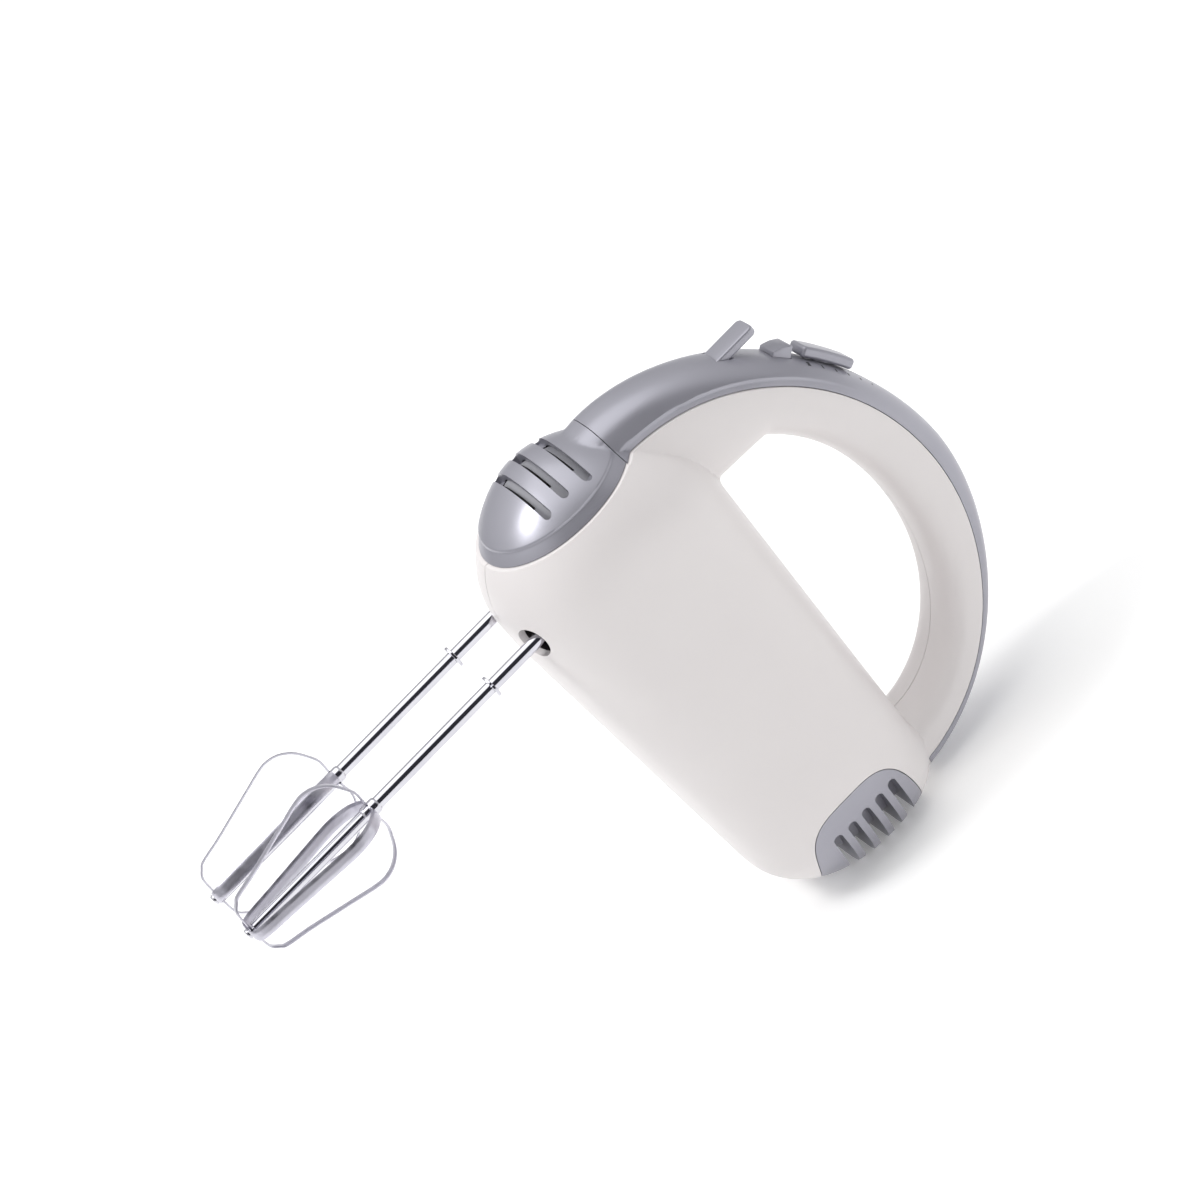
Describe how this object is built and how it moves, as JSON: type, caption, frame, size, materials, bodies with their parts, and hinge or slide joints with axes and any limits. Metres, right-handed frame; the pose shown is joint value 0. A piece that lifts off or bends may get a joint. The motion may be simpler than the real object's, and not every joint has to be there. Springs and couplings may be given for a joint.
{
  "type": "hand mixer",
  "caption": "Electric hand mixer with a hoop handle, round slotted nose, ribbed heel rest and two interleaved strip beaters driven through a worm and wheels.",
  "frame": {"origin": "on the flat end of the heel's middle rib, in the parting plane of the shells, where the mixer stands on its heel", "axes": "+Z from the heel to the nose, +X out of the handle, so the beaters point along -X, +Y to the mixer's right side"},
  "size_m": [0.3112, 0.0791, 0.2125],
  "materials": {
    "white_plastic": "fine satin moulded ABS, slightly warm white",
    "grey_plastic": "satin moulded ABS, bluish mid grey",
    "guide_plastic": "matt moulded plastic, darker grey",
    "dark_plastic": "matt phenolic or nylon, near black",
    "nylon": "matt natural nylon",
    "gland_rubber": "matt grey rubber",
    "chrome": "bright chrome plate",
    "steel": "plain turned or zinc plated steel",
    "frame_metal": "die cast, unpainted",
    "lamination": "stacked electrical steel sheets, lacquered",
    "copper": "enamelled copper wire and copper bars",
    "bronze": "sintered oil bronze and brass",
    "carbon": "matt carbon"
  },
  "bodies": {
    "housing": {"left_shell": "white_plastic", "right_shell": "white_plastic", "handle_cover": "grey_plastic", "nose_cap": "grey_plastic", "front_air_guide": "guide_plastic", "heel_grille": "grey_plastic", "cord_gland": "gland_rubber", "gear_frame": "frame_metal", "stator_core": "lamination", "rear_bracket": "frame_metal", "front_bearing": "bronze", "rear_bearing": "bronze", "field_coil_upper": "copper", "field_coil_lower": "copper", "spindle_bush_left": "bronze", "spindle_bush_right": "bronze", "brush_holder_left": "bronze", "brush_holder_right": "bronze", "carbon_brush_left": "carbon", "carbon_brush_right": "carbon", "speed_switch": "dark_plastic", "ejector_spring": "steel", "turbo_spring": "steel", "shell_screw_1": "steel", "shell_screw_2": "steel", "shell_screw_3": "steel", "shell_screw_4": "steel", "shell_screw_5": "steel", "motor_screw_1": "steel", "motor_screw_2": "steel"},
    "rotor": {"rotor_shaft": "steel", "armature_core": "lamination", "winding_front": "copper", "winding_rear": "copper", "commutator": "copper", "cooling_fan": "dark_plastic"},
    "spindle_left": {"worm_wheel_left": "nylon", "spindle_sleeve_left": "steel"},
    "spindle_right": {"worm_wheel_right": "nylon", "spindle_sleeve_right": "steel"},
    "beater_left": {"beater_shaft_left": "chrome", "beater_collar_left": "chrome", "beater_loop_outer_left": "chrome", "beater_loop_inner_left": "chrome"},
    "beater_right": {"beater_shaft_right": "chrome", "beater_collar_right": "chrome", "beater_loop_outer_right": "chrome", "beater_loop_inner_right": "chrome"},
    "ejector": {"eject_lever": "grey_plastic", "ejector_plate": "steel"},
    "turbo": {"turbo_button": "grey_plastic"},
    "slider": {"speed_slider": "grey_plastic"}
  },
  "joints": [
    {"name": "rotor_spin", "type": "hinge", "parent": "housing", "child": "rotor", "pos_m": [-0.0055, 0, 0], "axis": [0, 0, 1], "continuous": true},
    {"name": "spindle_left_spin", "type": "hinge", "parent": "housing", "child": "spindle_left", "pos_m": [0, -0.0175, 0.168], "axis": [1, 0, 0], "continuous": true},
    {"name": "spindle_right_spin", "type": "hinge", "parent": "housing", "child": "spindle_right", "pos_m": [0, 0.0175, 0.168], "axis": [1, 0, 0], "continuous": true},
    {"name": "eject_push", "type": "slide", "parent": "housing", "child": "ejector", "axis": [-1, 0, 0], "range_m": [0, 0.005], "stiffness_N_per_m": 900, "springref_m": -0.004, "deforming": ["ejector_spring"]},
    {"name": "beater_left_eject", "type": "slide", "parent": "spindle_left", "child": "beater_left", "axis": [-1, 0, 0], "range_m": [0, 0.005]},
    {"name": "beater_right_eject", "type": "slide", "parent": "spindle_right", "child": "beater_right", "axis": [-1, 0, 0], "range_m": [0, 0.005]},
    {"name": "turbo_press", "type": "slide", "parent": "housing", "child": "turbo", "axis": [-0.7751, 0, -0.6318], "range_m": [0, 0.002], "stiffness_N_per_m": 800, "springref_m": -0.001, "deforming": ["turbo_spring"]},
    {"name": "speed_slide", "type": "hinge", "parent": "housing", "child": "slider", "pos_m": [-0.00488, 0, 0.09482], "axis": [0, 1, 0], "range_deg": [0, 9.5]}
  ],
  "couplings": [
    {"joint": "spindle_left_spin", "follows": "rotor_spin", "ratio": -0.074074},
    {"joint": "spindle_right_spin", "follows": "rotor_spin", "ratio": 0.074074},
    {"joint": "beater_left_eject", "follows": "eject_push", "ratio": 1},
    {"joint": "beater_right_eject", "follows": "eject_push", "ratio": 1}
  ]
}
